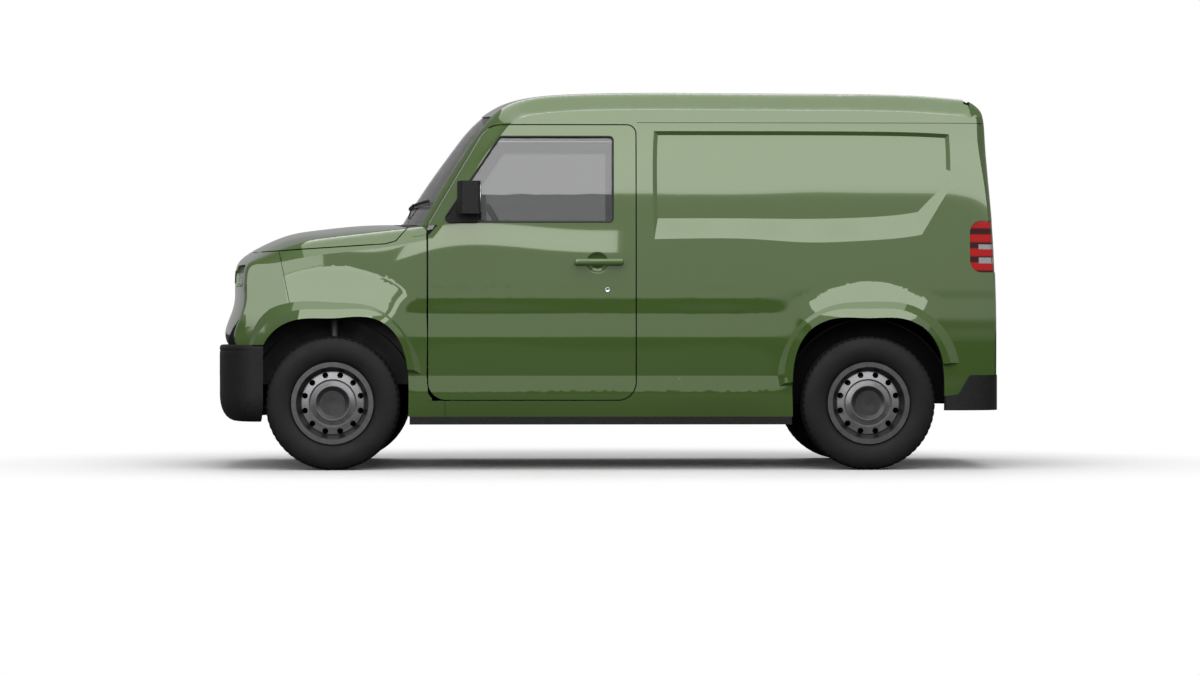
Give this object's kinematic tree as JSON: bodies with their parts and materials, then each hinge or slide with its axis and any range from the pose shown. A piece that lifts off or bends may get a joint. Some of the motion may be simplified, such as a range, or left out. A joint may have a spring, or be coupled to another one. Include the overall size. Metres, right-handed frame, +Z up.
{
  "type": "electric panel van",
  "caption": "Small bonneted electric panel van with hinged cab doors, bonnet and top-hinged tailgate, steered front wheels and a hollow load space.",
  "frame": {"origin": "middle of the van's box at ground level, under the centre of the body", "axes": "+X to the rear, +Y to the van's right side, +Z up"},
  "size_m": [4.046, 1.89, 1.9565],
  "materials": {
    "body_paint": "gloss clear-coated green paint",
    "window_glass": "tinted safety glass",
    "black_plastic": "grained black moulding",
    "clear_lens": "clear lamp lens",
    "red_lens": "clear red lamp lens",
    "body_steel": "thin satin paint",
    "chassis_steel": "black chassis coating",
    "cab_plastic": "fine grain",
    "seat_fabric": "woven dark grey cloth",
    "battery_case": "plain sheet",
    "cast_case": "cast",
    "tyre": "new rubber",
    "wheel_steel": "dark satin lacquer"
  },
  "bodies": {
    "root": {"side_left": "body_paint", "side_right": "body_paint", "roof": "body_paint", "fender_left": "body_paint", "fender_right": "body_paint", "nose": "body_paint", "windscreen": "window_glass", "cowl": "black_plastic", "front_bumper": "black_plastic", "rear_bumper": "black_plastic", "sill_trims": "black_plastic", "wheel_liners": "black_plastic", "headlamps": "clear_lens", "tail_lamps": "red_lens", "floor": "body_steel", "front_structure": "body_steel", "bulkhead": "body_steel", "lower_arms": "chassis_steel", "rear_axle": "chassis_steel", "hinges": "chassis_steel", "dashboard": "cab_plastic", "steering_wheel": "cab_plastic", "seats": "seat_fabric", "seat_base_left": "cab_plastic", "seat_base_right": "cab_plastic", "battery_pack": "battery_case", "power_unit": "cast_case"},
    "door_left": {"door_left": "body_paint", "door_glass_left": "window_glass", "handle_left": "body_paint", "mirror_left": "black_plastic"},
    "door_right": {"door_right": "body_paint", "door_glass_right": "window_glass", "handle_right": "body_paint", "mirror_right": "black_plastic"},
    "bonnet": {"bonnet": "body_paint"},
    "tailgate": {"tailgate": "body_paint", "tailgate_glass": "window_glass"},
    "steer_left": {"knuckle_left": "chassis_steel"},
    "steer_right": {"knuckle_right": "chassis_steel"},
    "wheel_front_left": {"tyre_front_left": "tyre", "rim_front_left": "wheel_steel"},
    "wheel_front_right": {"tyre_front_right": "tyre", "rim_front_right": "wheel_steel"},
    "wheel_rear_left": {"tyre_rear_left": "tyre", "rim_rear_left": "wheel_steel"},
    "wheel_rear_right": {"tyre_rear_right": "tyre", "rim_rear_right": "wheel_steel"}
  },
  "joints": [
    {"name": "door_left_hinge", "type": "hinge", "parent": "root", "child": "door_left", "pos_m": [-0.853, -0.76375, 0.8], "axis": [0, 0, -1], "range_deg": [0, 65]},
    {"name": "door_right_hinge", "type": "hinge", "parent": "root", "child": "door_right", "pos_m": [-0.853, 0.76375, 0.8], "axis": [0, 0, 1], "range_deg": [0, 65]},
    {"name": "bonnet_hinge", "type": "hinge", "parent": "root", "child": "bonnet", "pos_m": [-1.006, 0, 1.215], "axis": [0, 1, 0], "range_deg": [0, 55]},
    {"name": "tailgate_hinge", "type": "hinge", "parent": "root", "child": "tailgate", "pos_m": [1.865, 0, 1.88], "axis": [0, -1, 0], "range_deg": [0, 80]},
    {"name": "steer_left_kingpin", "type": "hinge", "parent": "root", "child": "steer_left", "pos_m": [-1.398, -0.68, 0.22], "axis": [0, 0.1871, 0.9823], "range_deg": [-33, 33]},
    {"name": "steer_right_kingpin", "type": "hinge", "parent": "root", "child": "steer_right", "pos_m": [-1.398, 0.68, 0.22], "axis": [0, -0.1871, 0.9823], "range_deg": [-33, 33]},
    {"name": "wheel_front_left_spin", "type": "hinge", "parent": "steer_left", "child": "wheel_front_left", "pos_m": [-1.398, -0.705, 0.34], "axis": [0, 1, 0], "continuous": true},
    {"name": "wheel_front_right_spin", "type": "hinge", "parent": "steer_right", "child": "wheel_front_right", "pos_m": [-1.398, 0.705, 0.34], "axis": [0, 1, 0], "continuous": true},
    {"name": "wheel_rear_left_spin", "type": "hinge", "parent": "root", "child": "wheel_rear_left", "pos_m": [1.322, -0.705, 0.34], "axis": [0, 1, 0], "continuous": true},
    {"name": "wheel_rear_right_spin", "type": "hinge", "parent": "root", "child": "wheel_rear_right", "pos_m": [1.322, 0.705, 0.34], "axis": [0, 1, 0], "continuous": true}
  ],
  "couplings": [
    {"joint": "steer_right_kingpin", "follows": "steer_left_kingpin", "ratio": 1}
  ]
}
